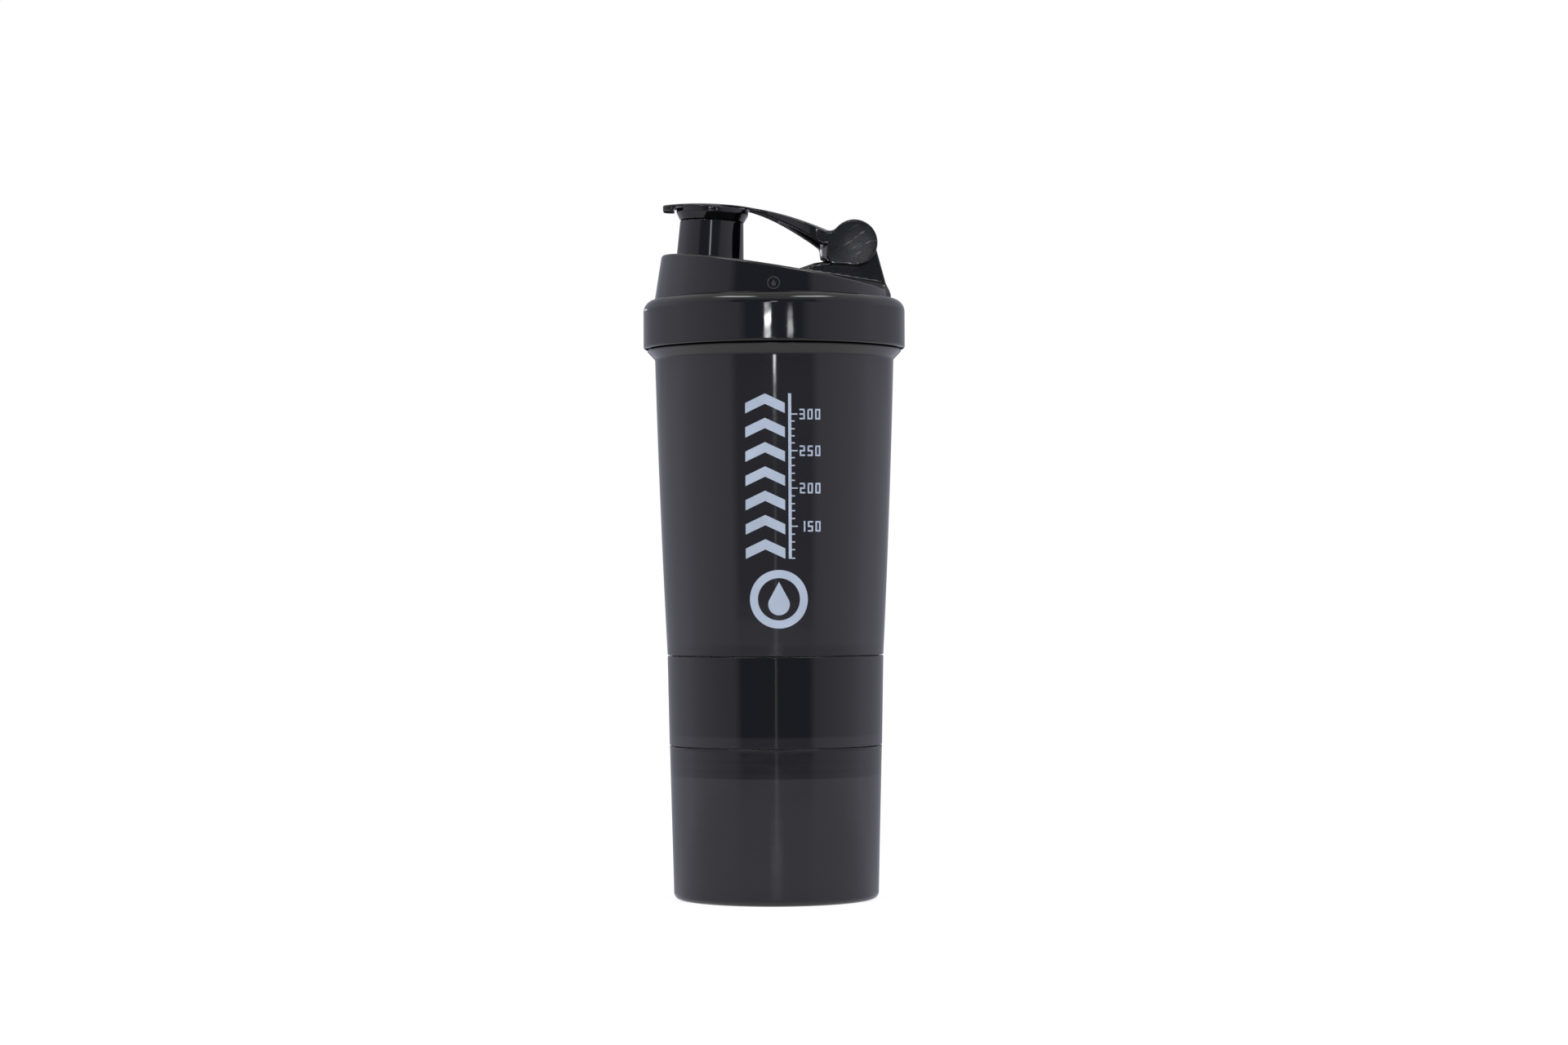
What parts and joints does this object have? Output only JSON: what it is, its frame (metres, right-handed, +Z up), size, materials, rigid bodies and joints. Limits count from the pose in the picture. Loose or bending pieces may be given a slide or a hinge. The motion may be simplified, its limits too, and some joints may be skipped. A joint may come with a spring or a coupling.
{
  "type": "protein shaker bottle",
  "caption": "Black protein shaker bottle: tapered cup, screw lid with spout and hinged flip cap, mixing grid, and screw-on powder and pill compartments underneath.",
  "frame": {"origin": "centre of the foot, in the plane that the bottle stands on", "axes": "+Z up along the bottle's axis; the spout is on the -X side, the flip cap's hinge on the +X side, and the print faces -Y"},
  "size_m": [0.0866, 0.0866, 0.23],
  "materials": {
    "black_gloss": "opaque glossy black moulded plastic",
    "smoke_body": "glossy smoke-black plastic, very slightly translucent",
    "inner_plastic": "satin black moulded plastic",
    "seal": "soft grey silicone",
    "print_ink": "pale blue-grey screen print"
  },
  "bodies": {
    "lower_compartment": {"lower_compartment": "smoke_body"},
    "lower_seal": {"lower_seal": "seal"},
    "middle_compartment": {"middle_compartment": "smoke_body"},
    "pill_tray": {"pill_tray": "inner_plastic"},
    "upper_seal": {"upper_seal": "seal"},
    "shaker_cup": {"shaker_cup": "smoke_body"},
    "lid_seal": {"lid_seal": "seal"},
    "lid": {"lid": "black_gloss"},
    "strainer": {"strainer": "inner_plastic"},
    "flip_cap": {"flip_cap": "black_gloss", "spout_seal": "seal", "hinge_pin": "inner_plastic"}
  },
  "joints": [
    {"name": "middle_rise", "type": "slide", "parent": "lower_compartment", "child": "lower_seal", "axis": [0, 0, 1], "range_m": [0, 0.0105]},
    {"name": "middle_turn", "type": "hinge", "parent": "lower_seal", "child": "middle_compartment", "pos_m": [0, 0, 0.0509], "axis": [0, 0, 1], "range_deg": [0, 1170]},
    {"name": "tray_lift", "type": "slide", "parent": "middle_compartment", "child": "pill_tray", "axis": [0, 0, 1], "range_m": [0, 0.008]},
    {"name": "cup_rise", "type": "slide", "parent": "middle_compartment", "child": "upper_seal", "axis": [0, 0, 1], "range_m": [0, 0.0105]},
    {"name": "cup_turn", "type": "hinge", "parent": "upper_seal", "child": "shaker_cup", "pos_m": [0, 0, 0.0806], "axis": [0, 0, 1], "range_deg": [0, 1170]},
    {"name": "lid_rise", "type": "slide", "parent": "shaker_cup", "child": "lid_seal", "axis": [0, 0, 1], "range_m": [0, 0.0151]},
    {"name": "lid_turn", "type": "hinge", "parent": "lid_seal", "child": "lid", "pos_m": [0, 0, 0.1817], "axis": [0, 0, 1], "range_deg": [0, 1080]},
    {"name": "strainer_pull", "type": "slide", "parent": "lid", "child": "strainer", "axis": [0, 0, -1], "range_m": [0, 0.015]},
    {"name": "flip_open", "type": "hinge", "parent": "lid", "child": "flip_cap", "pos_m": [0.0265, 0, 0.216], "axis": [0, 1, 0], "range_deg": [0, 150]}
  ],
  "couplings": [
    {"joint": "middle_rise", "follows": "middle_turn", "m_per_rad": 0.0005093},
    {"joint": "cup_rise", "follows": "cup_turn", "m_per_rad": 0.0005093},
    {"joint": "lid_rise", "follows": "lid_turn", "m_per_rad": 0.00079577}
  ]
}
